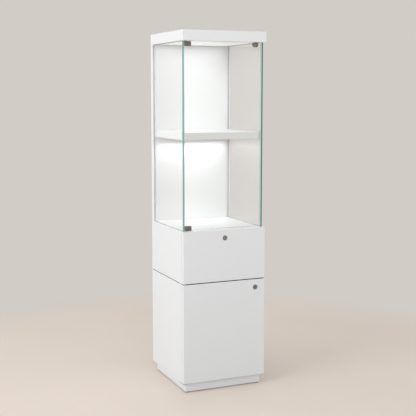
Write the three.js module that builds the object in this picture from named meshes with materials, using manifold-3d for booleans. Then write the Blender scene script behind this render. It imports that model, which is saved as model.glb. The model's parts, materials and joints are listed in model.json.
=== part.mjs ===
// Pedestal display case: a slim white tower with a lockable cabinet, a lockable drawer and a lit
// glass compartment under a canopy. Millimetres, +Z up. The origin is the centre of the footprint
// on the floor, the front faces -Y and +X is to the right of someone who stands before it.
import * as THREE from "three";
import { mergeVertices } from "three/addons/utils/BufferGeometryUtils.js";
import Module from "manifold-3d";

const wasm = await Module();
wasm.setup();

// ---- driving dimensions ----
const width = 450;
const depth = 450;
const board = 18; // carcass boards
const thinBoard = 12; // back boards
const glueLine = 0.2; // left between boards that are glued or screwed together
const fitGap = 0.3; // between pieces that only rest on or in each other
const easedEdge = 0.8; // chamfer on painted fronts and the canopy

const plinthHeight = 50; // floor to the underside of the cabinet
const plinthInset = 18;
const glideHeight = 4;
const glideRadius = 11;
const glideInset = 12.5; // from the plinth's outer faces
const glideStemRadius = 3;
const glideStemLength = 22;

const cabinetHeight = 507;
const shadowGap = 3; // between the cabinet and the drawer unit
const shadowDepth = 10; // how far the spacer in it stands back
const drawerUnitHeight = 262;
const displayHeight = 926; // deck to canopy
const canopyHeight = 52;

const frontBoard = 20; // door and drawer front
const frontGap = 2.5; // between a front and the carcass behind it
const frontReveal = 0.5; // a front is this much shorter than the carcass on each side
const doorBottomLift = 0.8;
const doorTopGap = 0.7; // below the top of the cabinet

const glass = 8;
const sideGlassInset = 8; // from the case's sides
const sideGlassSetback = 23; // from the front plane
const deckGroove = 4;
const canopyGroove = 8;
const glassDoorSetback = 27.5;
const glassDoorSideGap = 2.5; // to the side glasses
const glassDoorEndGap = 3; // to the deck and to the canopy
const glassFitGap = 0.3; // round the glass in a groove or a clamp

const backPanel = 25;
const channelWall = 1.7; // outer wall of the upright that holds a side glass
const channelInnerWall = 5.7;
const channelDepth = 12;
const channelBite = 10; // how far the glass goes into it

const shelfThickness = 35;
const shelfTop = 483; // above the deck
const shelfSetback = 45;
const shelfSideGap = 3; // to the side glasses
const shelfPinRadius = 6;
const shelfPinSpacing = 240;
const shelfPinInShelf = 110;
const shelfPinInPanel = 20;
const shelfLightWidth = 16;
const shelfLightHeight = 8;
const shelfLightLength = 360;
const shelfLightFromBack = 40;

const clampWidth = 36;
const clampHeight = 23;
const clampPlate = 4; // metal in front of the glass and behind it
const clampWeb = 4.2; // metal above or below the glass
const clampCorner = 2;
const clampInset = 0.5; // from the glass door's edge
const pivotFromEdge = 12; // pivot axis from the glass door's edge
const pivotRadius = 3;
const pivotLength = 8;
const bushRadius = 5;
const bushLength = 10;
const bushFlangeRadius = 7;
const bushFlange = 1.2;
const pivotClearance = 0.2; // radial
const clampFlangeGap = 0.3; // the lower clamp runs this far above its bush
const clampTopGap = 2; // upper clamp to the canopy

const glassLockRadius = 13;
const glassLockFlat = 9; // from its centre up to the flat top
const glassLockFromEdge = 31; // from the glass door's free edge
const glassLockPlate = 10; // metal in front of the glass
const glassLockPlugRadius = 5;
const glassLockPlugLength = 5;
const glassLockPlugDrop = 3.5; // plug axis below the lock's centre
const boltWidth = 10;
const boltThickness = 2.5;
const boltHeight = 18;
const boltThrow = 6;
const boltSlotPlay = 0.6; // round the bolt in the canopy

const lockFlangeRadius = 12.5;
const lockFlange = 2.5;
const lockFlangeEdge = 1; // thickness of the flange at its rounded-off rim
const lockRimWidth = 1.6; // from there in to the flange's highest ring
const lockDish = 1.3; // how far the flange slopes in towards the plug
const lockBarrelRadius = 9;
const lockBarrelPastFront = 8; // how far the barrel stands out behind the front
const lockNutAcross = 26; // over its corners
const lockNut = 4;
const lockPlugRadius = 6;
const lockPlugRecess = 0.5; // below the flange's highest ring
const lockTailRadius = 4;
const camScrewHead = 2;
const camScrewRadius = 5.5;
const keySlotWidth = 2;
const keySlotLength = 8;
const keySlotDepth = 5;
const camThickness = 2.5;
const camHalfWidth = 7;
const camLength = 26; // axis to the centre of the cam's round end
const lockClearance = 0.2;
const doorLockFromEdge = 54.5; // from the door's free edge
const doorLockFromTop = 41.3;
const drawerLockFromTop = 41.7;
const strikeThickness = 2;
const strikeLeg = 18;
const strikeHeight = 24;

const doorPivotFromEdge = 7;
const doorPivotFromFront = 7;
const doorPivotRadius = 2.5;
const doorPivotPin = 9;
const doorPivotPlate = 2.5;
const doorPivotPlateWidth = 14;
const doorPivotPlateLength = 56; // from the pin to the plate's far end
const doorBushRadius = 4.3;
const doorBushLength = 11;
const doorBushFlange = 0.5;
const doorBushFlangeRadius = 5.5;

const drawerSideBoard = 15;
const drawerSideHeight = 166;
const drawerSideLift = 34; // above the drawer unit's underside
const drawerBackGap = 38; // behind the drawer, to the case's back board
const drawerBottomBoard = 9;
const drawerBottomLift = 6; // above the lower edge of the drawer's sides
const runnerSpace = 13; // between a drawer side and the carcass
const runnerHeight = 45;
const runnerSteel = 1.4;
const runnerBend = 0.6; // radius of its bends
const runnerLip = 2; // how far its turned edges reach past the steel
const runnerPlay = 0.5;
const runnerLift = 58; // runner's lower edge above the lower edge of the drawer's sides
const runnerSetback = 2.5; // behind the carcass's front edge
const runnerBackGap = 25; // ahead of the drawer's back edge

const diffuserThickness = 4;
const diffuserInset = 41; // from the canopy's sides, front and back
const canopyLedge = 8; // width of each step in the canopy's recess
const lightBoardLift = 20; // above the canopy's underside
const lightBoardThickness = 3;
const canopyTopThickness = 12;
const lightStripCount = 5;
const lightStripWidth = 10;
const lightStripHeight = 1.6;
const driverLength = 150;
const driverWidth = 42;
const driverHeight = 14;
const driverEase = 1.5;
const cableNotch = 24;

// ---- places that follow from them ----
const halfWidth = width / 2;
const frontY = -depth / 2;
const backY = depth / 2;
const carcassY = frontY + frontBoard + frontGap;
const innerX = halfWidth - board; // inner face of a carcass side
const glassInnerX = halfWidth - sideGlassInset - glass;
const glassOuterX = halfWidth - sideGlassInset;
const sideGlassY = frontY + sideGlassSetback;
const panelY = backY - backPanel;
const glassDoorY = frontY + glassDoorSetback; // front face of the glass door
const glassDoorX = glassInnerX - glassDoorSideGap; // half its width
const pivotX = -glassDoorX + pivotFromEdge;
const pivotY = glassDoorY + glass / 2;
const around = 24; // facets round a small cylinder

// ---- finishes ----
const finish = (color, roughness, metalness = 0, more = {}) =>
  new THREE.MeshStandardMaterial({ color, roughness, metalness, ...more });
const whiteLacquer = finish(0xf4f4f2, 0.4);
const darkBoard = finish(0x3c3b3a, 0.7);
const drawerBoard = finish(0xe9e7e2, 0.55);
const clearGlass = finish(0xcfe6e0, 0.03, 0, { transparent: true, opacity: 0.25 });
const satinNickel = finish(0xa8a4a0, 0.32, 1);
const bronzeNickel = finish(0x7b6f62, 0.35, 1);
const zincSteel = finish(0xb9bcc0, 0.4, 1);
const anodised = finish(0xbfc2c4, 0.45, 1);
const nylon = finish(0x2c2c2d, 0.6);
const opal = finish(0xfbfbf8, 0.5);
const circuitWhite = finish(0xf2f2ee, 0.5);

// ---- solids ----
// A box from one corner to the other, in the frame of the group that it goes in.
function block([x0, x1], [y0, y1], [z0, z1]) {
  const box = new THREE.BoxGeometry(x1 - x0, y1 - y0, z1 - z0);
  return box.translate((x0 + x1) / 2, (y0 + y1) / 2, (z0 + z1) / 2);
}

// A box with every edge chamfered.
function easedBlock([x0, x1], [y0, y1], [z0, z1], ease = easedEdge) {
  const halfX = (x1 - x0) / 2 - ease;
  const halfY = (y1 - y0) / 2 - ease;
  const outline = new THREE.Shape();
  outline.moveTo(-halfX + ease, -halfY);
  outline.lineTo(halfX - ease, -halfY);
  outline.lineTo(halfX, -halfY + ease);
  outline.lineTo(halfX, halfY - ease);
  outline.lineTo(halfX - ease, halfY);
  outline.lineTo(-halfX + ease, halfY);
  outline.lineTo(-halfX, halfY - ease);
  outline.lineTo(-halfX, -halfY + ease);
  const body = new THREE.ExtrudeGeometry(outline, {
    depth: z1 - z0 - 2 * ease,
    bevelSize: ease,
    bevelThickness: ease,
    bevelSegments: 1,
  });
  return body.translate((x0 + x1) / 2, (y0 + y1) / 2, z0 + ease);
}

// A turned solid on the Z axis, from [radius, height] points between two points on the axis.
function turned(points, segments = around) {
  const profile = points.map(([radius, height]) => new THREE.Vector2(radius, height));
  return new THREE.LatheGeometry(profile, segments).rotateX(Math.PI / 2);
}

function rod(radius, from, to, segments = around) {
  return turned([[0, from], [radius, from], [radius, to], [0, to]], segments);
}

// A flat outline drawn in X and Y, made solid from z = from to z = to.
function plate(outline, from, to) {
  const body = new THREE.ExtrudeGeometry(outline, {
    depth: to - from,
    bevelEnabled: false,
    curveSegments: 12,
  });
  return body.translate(0, 0, from);
}

// Turns a solid on the Z axis to run along +Y.
const alongY = (geometry) => geometry.rotateX(-Math.PI / 2);
// The span between two distances from the middle, on the left (-1) or on the right (1).
const onSide = (sign, inner, outer) => (sign < 0 ? [-outer, -inner] : [inner, outer]);
const moved = (geometry, x, y, z) => geometry.clone().translate(x, y, z);

function solidOf(geometry) {
  const bare = geometry.clone();
  bare.deleteAttribute("normal");
  bare.deleteAttribute("uv");
  const merged = mergeVertices(bare, 1e-4);
  return new wasm.Manifold(
    new wasm.Mesh({
      numProp: 3,
      vertProperties: merged.attributes.position.array,
      triVerts: new Uint32Array(merged.index.array),
    }),
  );
}

function geometryOf(solid) {
  const mesh = solid.getMesh();
  const geometry = new THREE.BufferGeometry();
  geometry.setAttribute("position", new THREE.BufferAttribute(mesh.vertProperties, 3));
  geometry.setIndex(new THREE.BufferAttribute(mesh.triVerts, 1));
  geometry.computeVertexNormals();
  return geometry;
}

const joined = (first, ...others) =>
  geometryOf(others.reduce((solid, other) => solid.add(solidOf(other)), solidOf(first)));
const cut = (first, ...tools) =>
  geometryOf(tools.reduce((solid, tool) => solid.subtract(solidOf(tool)), solidOf(first)));

function add(group, name, geometry, material) {
  const mesh = new THREE.Mesh(geometry, material);
  mesh.name = name;
  group.add(mesh);
  return mesh;
}

// ---- plinth and glides ----
function makePlinth() {
  const group = new THREE.Group();
  const outer = halfWidth - plinthInset;
  const outerY = backY - plinthInset;
  const centreX = outer - glideInset;
  const centreY = outerY - glideInset;
  const top = plinthHeight - glueLine;
  const stemBore = rod(glideStemRadius + fitGap, glideHeight - 1, glideHeight + glideStemLength + fitGap);
  const corners = [
    ["front_left", -centreX, -centreY],
    ["front_right", centreX, -centreY],
    ["back_left", -centreX, centreY],
    ["back_right", centreX, centreY],
  ];
  const cableWay = block([-cableNotch / 2, cableNotch / 2], [outerY - 2 * board, outerY + 1],
    [glideHeight - 1, glideHeight + cableNotch]);
  const frame = cut(
    block([-outer, outer], [-outerY, outerY], [glideHeight, top]),
    block([-outer + board, outer - board], [-outerY + board, outerY - board], [0, plinthHeight + 1]),
    cableWay,
    ...corners.map(([, x, y]) => moved(stemBore, x, y, 0)),
  );
  add(group, "plinth_frame", frame, whiteLacquer);
  const foot = glideHeight - glueLine;
  const glide = turned([
    [0, 0], [glideRadius - 1, 0], [glideRadius, 1], [glideRadius, foot],
    [glideStemRadius, foot], [glideStemRadius, glideHeight + glideStemLength],
    [0, glideHeight + glideStemLength],
  ]);
  corners.forEach(([corner, x, y]) => {
    add(group, "glide_" + corner, glide, nylon).position.set(x, y, 0);
  });
  return group;
}

// ---- cam lock: its axis runs along Y through the origin, and y = 0 is the face of the front ----
// camAngle is where the cam points at rest, turned about the lock's axis from straight down.
function makeCamLock(prefix, camAngle) {
  const group = new THREE.Group();
  const rear = frontBoard + lockBarrelPastFront;
  const plugBore = alongY(rod(lockPlugRadius + lockClearance, -lockFlange - 1, rear + 1));
  const shell = turned([
    [0, lockDish - lockFlange], [lockPlugRadius, lockDish - lockFlange],
    [lockFlangeRadius - lockRimWidth, -lockFlange], [lockFlangeRadius, -lockFlangeEdge],
    [lockFlangeRadius, -glueLine], [lockBarrelRadius, -glueLine], [lockBarrelRadius, rear], [0, rear],
  ], 32);
  const nut = rod(lockNutAcross / 2, frontBoard + glueLine, frontBoard + glueLine + lockNut, 6);
  const housing = cut(joined(alongY(shell), alongY(nut)), plugBore);
  add(group, prefix + "_lock_housing", housing, satinNickel);

  const face = lockPlugRecess - lockFlange;
  const camBack = rear + fitGap + camThickness;
  const screwFace = camBack + glueLine;
  const plug = turned([
    [0, face], [lockPlugRadius - 0.6, face], [lockPlugRadius, face + 0.6], [lockPlugRadius, rear],
    [lockTailRadius, rear], [lockTailRadius, screwFace], [camScrewRadius, screwFace],
    [camScrewRadius, screwFace + camScrewHead], [0, screwFace + camScrewHead],
  ]);
  const keySlot = block([-keySlotWidth / 2, keySlotWidth / 2], [face - 1, face + keySlotDepth],
    [-keySlotLength / 2, keySlotLength / 2]);
  add(group, prefix + "_lock_plug", cut(alongY(plug), keySlot), satinNickel);

  const outline = new THREE.Shape();
  outline.absarc(0, 0, camHalfWidth, 0, Math.PI);
  outline.lineTo(-camHalfWidth * 0.8, -camLength);
  outline.absarc(0, -camLength, camHalfWidth * 0.8, Math.PI, 2 * Math.PI);
  const eye = new THREE.Path();
  eye.absarc(0, 0, lockTailRadius + lockClearance, 0, 2 * Math.PI, true);
  outline.holes.push(eye);
  const cam = plate(outline, 0, camThickness).rotateX(Math.PI / 2).rotateY(camAngle);
  add(group, prefix + "_lock_cam", cam, zincSteel).position.y = camBack;
  return group;
}

// ---- lower cabinet: z = 0 is its underside ----
function makeCabinet() {
  const group = new THREE.Group();
  const sideSpan = [carcassY, backY];
  const between = [-innerX + glueLine, innerX - glueLine];
  add(group, "cabinet_side_left", block([-halfWidth, -innerX], sideSpan, [0, cabinetHeight]), whiteLacquer);
  add(group, "cabinet_side_right", block([innerX, halfWidth], sideSpan, [0, cabinetHeight]), whiteLacquer);
  add(group, "cabinet_bottom", block(between, sideSpan, [0, board]), whiteLacquer);
  add(group, "cabinet_top", block(between, sideSpan, [cabinetHeight - board, cabinetHeight]), whiteLacquer);
  add(group, "cabinet_back", block(between, [backY - thinBoard, backY],
    [board + glueLine, cabinetHeight - board - glueLine]), whiteLacquer);

  const doorX = halfWidth - frontReveal;
  const doorTop = cabinetHeight - doorTopGap;
  const hingeX = -doorX + doorPivotFromEdge;
  const hingeY = frontY + doorPivotFromFront;
  const lockX = doorX - doorLockFromEdge;
  const lockZ = doorTop - doorLockFromTop;
  const bushBore = rod(doorBushRadius + glueLine, -1, doorBushLength + fitGap);
  const door = cut(
    easedBlock([-doorX, doorX], [frontY, frontY + frontBoard], [doorBottomLift, doorTop]),
    moved(bushBore, hingeX, hingeY, doorBottomLift),
    moved(bushBore.clone().rotateX(Math.PI), hingeX, hingeY, doorTop),
    moved(alongY(rod(lockBarrelRadius + lockClearance, -1, frontBoard + 1)), lockX, frontY, lockZ),
  );
  add(group, "cabinet_door", door, whiteLacquer);

  // Each plate is screwed to the end of the left side and reaches out over or under the door's edge.
  const half = doorPivotPlateWidth / 2;
  const outline = new THREE.Shape();
  outline.absarc(0, 0, half, Math.PI, 2 * Math.PI);
  outline.lineTo(half, doorPivotPlateLength);
  outline.lineTo(-half, doorPivotPlateLength);
  const lower = joined(
    plate(outline, -doorPivotPlate - glueLine, -glueLine),
    rod(doorPivotRadius, -glueLine - 0.5, doorBottomLift + doorPivotPin),
  );
  add(group, "door_pivot_lower", lower, zincSteel).position.set(hingeX, hingeY, 0);
  const upper = joined(
    plate(outline, glueLine, glueLine + doorPivotPlate),
    rod(doorPivotRadius, -doorTopGap - doorPivotPin, glueLine + 0.5),
  );
  add(group, "door_pivot_upper", upper, zincSteel).position.set(hingeX, hingeY, cabinetHeight);

  const bush = cut(
    turned([
      [0, -doorBushFlange], [doorBushFlangeRadius, -doorBushFlange], [doorBushFlangeRadius, -0.1],
      [doorBushRadius, -0.1], [doorBushRadius, doorBushLength], [0, doorBushLength],
    ]),
    rod(doorPivotRadius + pivotClearance, -2, doorBushLength - 1),
  );
  add(group, "door_bush_lower", bush, nylon).position.set(hingeX, hingeY, doorBottomLift);
  const upperBush = add(group, "door_bush_upper", bush.clone().rotateX(Math.PI), nylon);
  upperBush.position.set(hingeX, hingeY, doorTop);

  const lock = makeCamLock("door", 0);
  lock.position.set(lockX, frontY, lockZ);
  group.add(lock);

  // The cam turns towards the right side and passes behind the strike's outer leg.
  const strikeFront = carcassY + 1;
  const strikeX = innerX - glueLine;
  const camBack = frontY + frontBoard + lockBarrelPastFront;
  const strike = joined(
    block([strikeX - strikeThickness, strikeX], [strikeFront, camBack + 3 * strikeLeg / 2],
      [lockZ - strikeHeight / 2, lockZ + strikeHeight / 2]),
    block([strikeX - strikeLeg, strikeX], [camBack - 1 - strikeThickness, camBack - 1],
      [lockZ - strikeHeight / 2, lockZ + strikeHeight / 2]),
  );
  add(group, "door_lock_strike", strike, zincSteel);
  return group;
}

// ---- recessed spacer between the cabinet and the drawer unit: z = 0 is the cabinet's top ----
function makeSpacer() {
  const group = new THREE.Group();
  const edge = halfWidth - shadowDepth;
  const doorX = halfWidth - frontReveal;
  const hingeX = -doorX + doorPivotFromEdge;
  const plateEnd = frontY + doorPivotFromFront + doorPivotPlateLength;
  const notch = block([-halfWidth - 1, hingeX + doorPivotPlateWidth / 2 + 1], [frontY, plateEnd + 1],
    [-1, shadowGap + 1]);
  const spacer = cut(
    block([-edge, edge], [carcassY + shadowDepth, backY - shadowDepth], [glueLine, shadowGap - glueLine]),
    notch,
  );
  add(group, "shadow_gap_spacer", spacer, darkBoard);
  return group;
}

// A closed outline through corners that are rounded by the radius.
function roundedOutline(corners, radius) {
  const outline = new THREE.Shape();
  corners.forEach((corner, i) => {
    const before = corners[(i + corners.length - 1) % corners.length].clone().sub(corner);
    const after = corners[(i + 1) % corners.length].clone().sub(corner);
    const start = corner.clone().add(before.setLength(Math.min(radius, before.length() / 2)));
    const end = corner.clone().add(after.setLength(Math.min(radius, after.length() / 2)));
    if (i === 0) outline.moveTo(start.x, start.y);
    else outline.lineTo(start.x, start.y);
    outline.quadraticCurveTo(corner.x, corner.y, end.x, end.y);
  });
  outline.closePath();
  return outline;
}

// One member of a runner: a C of sheet steel along Y, open towards +X, with its web at x = 0. The
// edges of its flanges are turned inwards, or outwards, by the lip.
function runnerMember(halfHeight, reach, length, turnedOut) {
  const inside = halfHeight - runnerSteel;
  const neck = reach - runnerSteel;
  const lip = turnedOut
    ? [[reach, inside], [reach, halfHeight + runnerLip], [neck, halfHeight + runnerLip], [neck, halfHeight]]
    : [[neck, inside], [neck, inside - runnerLip], [reach, inside - runnerLip], [reach, halfHeight]];
  const upperHalf = [[runnerSteel, inside], ...lip, [0, halfHeight]];
  const lowerHalf = upperHalf.map(([x, y]) => [x, -y]).reverse();
  const corners = [...upperHalf, ...lowerHalf].map(([x, y]) => new THREE.Vector2(x, y));
  const body = new THREE.ExtrudeGeometry(roundedOutline(corners, runnerBend), {
    depth: length,
    bevelEnabled: false,
    curveSegments: 2,
  });
  return alongY(body);
}

// ---- drawer unit: z = 0 is its underside ----
function makeDrawerUnit() {
  const group = new THREE.Group();
  const top = drawerUnitHeight;
  const sideSpan = [carcassY, backY];
  const between = [-innerX + glueLine, innerX - glueLine];
  for (const [side, sign] of [["left", -1], ["right", 1]]) {
    const groove = block(onSide(sign, glassInnerX - glassFitGap, glassOuterX + glassFitGap),
      [carcassY - 1, panelY + channelBite + glassFitGap], [top - deckGroove, top + 1]);
    const upright = block(onSide(sign, innerX, halfWidth), sideSpan, [0, top]);
    add(group, "case_side_" + side, cut(upright, groove), whiteLacquer);
  }
  add(group, "case_bottom", block(between, sideSpan, [0, board]), whiteLacquer);
  add(group, "case_back", block(between, [backY - thinBoard, backY],
    [board + glueLine, top - board - glueLine]), whiteLacquer);

  const doorX = halfWidth - frontReveal;
  const lockZ = top - drawerLockFromTop;
  const camY = frontY + frontBoard + lockBarrelPastFront + fitGap;
  const camReach = camLength + camHalfWidth * 0.8;
  const mortise = block([-camHalfWidth - 1, camReach - 4], [camY - 1.2, camY + camThickness + 1.2],
    [top - board - 1, lockZ + camReach + 1]);
  const bushBore = rod(bushRadius + glueLine, top - bushLength - fitGap, top + 1);
  const deck = cut(
    block(between, sideSpan, [top - board, top]),
    mortise,
    moved(bushBore, pivotX, pivotY, 0),
  );
  add(group, "deck", deck, whiteLacquer);

  const drawerFront = cut(
    easedBlock([-doorX, doorX], [frontY, frontY + frontBoard], [frontReveal, top - fitGap]),
    moved(alongY(rod(lockBarrelRadius + lockClearance, -1, frontBoard + 1)), 0, frontY, lockZ),
  );
  add(group, "drawer_front", drawerFront, whiteLacquer);
  const lock = makeCamLock("drawer", -Math.PI / 2);
  lock.position.set(0, frontY, lockZ);
  group.add(lock);

  const boxX = innerX - runnerSpace;
  const boxInnerX = boxX - drawerSideBoard;
  const boxFrontY = frontY + frontBoard + glueLine;
  const boxBackY = backY - thinBoard - drawerBackGap;
  const low = drawerSideLift;
  const high = drawerSideLift + drawerSideHeight;
  const insideBox = [-boxInnerX + glueLine, boxInnerX - glueLine];
  const boxY = [boxFrontY, boxBackY];
  const boxZ = [low, high];
  add(group, "drawer_side_left", block([-boxX, -boxInnerX], boxY, boxZ), drawerBoard);
  add(group, "drawer_side_right", block([boxInnerX, boxX], boxY, boxZ), drawerBoard);
  add(group, "drawer_back", block(insideBox, [boxBackY - drawerSideBoard, boxBackY], boxZ), drawerBoard);
  add(group, "drawer_bottom", block(insideBox, [boxFrontY, boxBackY - drawerSideBoard - glueLine],
    [low + drawerBottomLift, low + drawerBottomLift + drawerBottomBoard]), drawerBoard);

  // The fixed member holds the middle one behind its lips, and the middle one holds the member that is
  // screwed to the drawer. Each has a little play all round.
  const runnerY = carcassY + runnerSetback;
  const runnerZ = low + runnerLift + runnerHeight / 2;
  const length = boxBackY - runnerBackGap - runnerY;
  const space = runnerSpace - 2 * glueLine;
  const nested = runnerSteel + runnerPlay;
  const middleHalf = runnerHeight / 2 - nested;
  const drawerHalf = middleHalf - nested - runnerLip;
  const drawerReach = space - 2 * nested;
  const middleReach = 3 * runnerSteel + 2 * runnerPlay;
  const fixedReach = middleReach + 2 * nested;
  const facingRight = {
    fixed: [runnerMember(runnerHeight / 2, fixedReach, length, false), innerX - glueLine],
    middle: [runnerMember(middleHalf, middleReach, length, false), innerX - glueLine - nested],
  };
  const facingLeft = {
    drawer: [runnerMember(drawerHalf, drawerReach, length, true), innerX - runnerSpace + glueLine],
  };
  for (const [side, sign] of [["left", -1], ["right", 1]]) {
    const place = (members, turnedRound) => {
      for (const [name, [member, x]] of Object.entries(members)) {
        const mesh = add(group, "runner_" + side + "_" + name, member, zincSteel);
        mesh.position.set(sign * x, turnedRound ? runnerY + length : runnerY, runnerZ);
        mesh.rotation.z = turnedRound ? Math.PI : 0;
      }
    };
    place(facingRight, sign > 0);
    place(facingLeft, sign < 0);
  }
  return group;
}

// A clamp of the glass door: a block round the glass with its web at z = 0 and the glass above it.
// The pivot pin stands down from the web. x = 0 is the pivot axis, y = 0 the middle of the glass.
function hingeClamp() {
  const left = -(pivotFromEdge - clampInset);
  const right = left + clampWidth;
  const half = glass / 2 + clampPlate;
  const corners = [[left, -half], [right, -half], [right, half], [left, half]];
  const outline = roundedOutline(corners.map(([x, y]) => new THREE.Vector2(x, y)), clampCorner);
  const body = new THREE.ExtrudeGeometry(outline, {
    depth: clampHeight,
    bevelEnabled: false,
    curveSegments: 3,
  });
  const slot = block([left - 1, right + 1], [-glass / 2 - glassFitGap, glass / 2 + glassFitGap],
    [clampWeb, clampHeight + 1]);
  const pin = rod(pivotRadius, -pivotLength - bushFlange, 1);
  return joined(cut(body, slot), pin);
}

// A bush with its flange on top of z = 0 and its body below.
function pivotBush() {
  return cut(
    turned([
      [0, -bushLength], [bushRadius, -bushLength], [bushRadius, 0.1], [bushFlangeRadius, 0.1],
      [bushFlangeRadius, bushFlange], [0, bushFlange],
    ]),
    rod(pivotRadius + pivotClearance, -bushLength - 1, bushFlange + 1),
  );
}

// ---- glass compartment: z = 0 is the deck ----
function makeDisplay() {
  const group = new THREE.Group();
  const height = displayHeight;

  const glassY = [sideGlassY, panelY + channelBite];
  const glassZ = [-deckGroove + glassFitGap, height + canopyGroove - glassFitGap];
  const pocketInnerX = glassInnerX - glassFitGap - channelInnerWall;
  const pocketOuterX = glassOuterX + glassFitGap + channelWall;
  const pockets = [-1, 1].map((sign) =>
    block(onSide(sign, pocketInnerX - glueLine, pocketOuterX + glueLine),
      [panelY - 1, panelY + channelDepth + glueLine], [-1, height + 1]));
  const pinBore = alongY(rod(shelfPinRadius + glueLine, -1, shelfPinInPanel + fitGap));
  const pinZ = shelfTop - shelfThickness / 2;
  const pinBores = [-1, 1].map((sign) => moved(pinBore, sign * shelfPinSpacing / 2, panelY, pinZ));
  const panel = cut(
    block([-halfWidth, halfWidth], [panelY, backY], [glueLine, height - glueLine]),
    ...pockets,
    ...pinBores,
  );
  add(group, "back_panel", panel, whiteLacquer);

  for (const [side, sign] of [["left", -1], ["right", 1]]) {
    const outerX = onSide(sign, pocketInnerX, pocketOuterX);
    const slotX = onSide(sign, glassInnerX - glassFitGap, glassOuterX + glassFitGap);
    const channel = cut(
      block(outerX, [panelY, panelY + channelDepth], [glueLine, height - glueLine]),
      block(slotX, [panelY - 1, panelY + channelBite + glassFitGap], [-1, height + 1]),
    );
    add(group, "glass_channel_" + side, channel, anodised);
    const pane = block(onSide(sign, glassInnerX, glassOuterX), glassY, glassZ);
    add(group, "side_glass_" + side, pane, clearGlass);
  }

  // The front glass is cut away at its hinges and lock, whose webs pass over its end.
  const lowerWeb = bushFlange + clampFlangeGap;
  const upperWeb = height - clampTopGap;
  const lockX = glassDoorX - glassLockFromEdge;
  const lockTop = upperWeb;
  const lockZ = lockTop - glassLockFlat;
  const doorEnd = [glassDoorEndGap, height - glassDoorEndGap];
  const across = [glassDoorY - 1, glassDoorY + glass + 1];
  const hingeSide = [-glassDoorX - 1, -glassDoorX + clampInset + clampWidth + 1];
  const lockSide = [lockX - glassLockRadius - 1, lockX + glassLockRadius + 1];
  const frontGlass = cut(
    block([-glassDoorX, glassDoorX], [glassDoorY, glassDoorY + glass], doorEnd),
    block(hingeSide, across, [0, lowerWeb + clampWeb + glassFitGap]),
    block(hingeSide, across, [upperWeb - clampWeb - glassFitGap, height]),
    block(lockSide, across, [lockTop - clampWeb - glassFitGap, height]),
  );
  add(group, "glass_door", frontGlass, clearGlass);

  const lower = add(group, "glass_hinge_lower", hingeClamp(), bronzeNickel);
  lower.position.set(pivotX, pivotY, lowerWeb);
  const upper = add(group, "glass_hinge_upper", hingeClamp().rotateX(Math.PI), bronzeNickel);
  upper.position.set(pivotX, pivotY, upperWeb);

  add(group, "glass_bush_lower", pivotBush(), nylon).position.set(pivotX, pivotY, 0);
  const upperBush = add(group, "glass_bush_upper", pivotBush().rotateX(Math.PI), nylon);
  upperBush.position.set(pivotX, pivotY, height);

  group.add(makeGlassLock(lockX, lockTop, lockZ));
  makeShelf(group, pinZ);
  return group;
}

// The lock clamps the top edge of the front glass. A plug in its face lifts a flat bolt.
function makeGlassLock(lockX, lockTop, lockZ) {
  const group = new THREE.Group();
  const faceY = glassDoorY - glassLockPlate;
  const rearY = glassDoorY + glass + clampPlate;
  const angle = Math.asin(glassLockFlat / glassLockRadius);
  const outline = new THREE.Shape();
  outline.absarc(0, 0, glassLockRadius, Math.PI - angle, 2 * Math.PI + angle);
  outline.closePath();
  const disc = plate(outline, 0, rearY - faceY).rotateX(Math.PI / 2).translate(lockX, rearY, lockZ);
  const slotTop = lockTop - clampWeb;
  const plugZ = lockZ - glassLockPlugDrop;
  const boltY = faceY + glassLockPlugLength + fitGap;
  const boltX = [lockX - boltWidth / 2, lockX + boltWidth / 2];
  const boltTop = lockTop - fitGap;
  const play = lockClearance;
  const lockCase = cut(
    disc,
    block([lockX - 2 * glassLockRadius, lockX + 2 * glassLockRadius],
      [glassDoorY - glassFitGap, glassDoorY + glass + glassFitGap], [lockZ - 2 * glassLockRadius, slotTop]),
    moved(alongY(rod(glassLockPlugRadius + play, -1, glassLockPlugLength + play)), lockX, faceY, plugZ),
    block([boltX[0] - play, boltX[1] + play], [boltY - play, boltY + boltThickness + play],
      [boltTop - boltHeight - play, lockTop + 1]),
  );
  add(group, "glass_lock_case", lockCase, bronzeNickel);
  const plug = turned([
    [0, -0.8], [glassLockPlugRadius - 0.5, -0.8], [glassLockPlugRadius, -0.3],
    [glassLockPlugRadius, glassLockPlugLength], [0, glassLockPlugLength],
  ]);
  const keySlot = block([-keySlotWidth / 2, keySlotWidth / 2], [-2, keySlotDepth - 1],
    [-keySlotLength / 2 + 1, keySlotLength / 2 - 1]);
  add(group, "glass_lock_plug", cut(alongY(plug), keySlot), satinNickel).position.set(lockX, faceY, plugZ);
  add(group, "glass_lock_bolt", block(boltX, [boltY, boltY + boltThickness], [boltTop - boltHeight, boltTop]),
    zincSteel);
  return group;
}

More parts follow.
